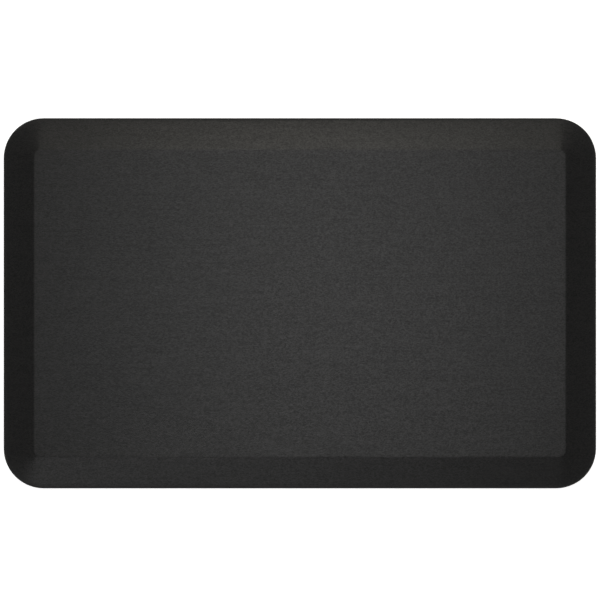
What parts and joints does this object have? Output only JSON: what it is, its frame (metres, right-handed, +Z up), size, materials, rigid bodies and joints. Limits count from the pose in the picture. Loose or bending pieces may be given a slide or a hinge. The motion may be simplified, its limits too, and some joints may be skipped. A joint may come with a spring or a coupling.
{
  "type": "anti fatigue mat",
  "caption": "Rectangular cushioned standing mat with rounded corners, wide bevelled edges, a grained skin over a foam core and an anti-slip sole.",
  "frame": {"origin": "centre of the underside, on the floor", "axes": "+X along the long side, +Y along the short side, +Z up out of the standing surface"},
  "size_m": [0.8128, 0.508, 0.0191],
  "materials": {
    "skin": "satin",
    "backing_cloth": "matte",
    "foam": "matte",
    "scrim": "matte",
    "sole": "matte",
    "label": "matte"
  },
  "bodies": {
    "root": {"top_skin": "skin", "skin_backing": "backing_cloth", "foam_core": "foam", "base_scrim": "scrim", "grip_sole": "sole", "care_label": "label"}
  },
  "joints": []
}
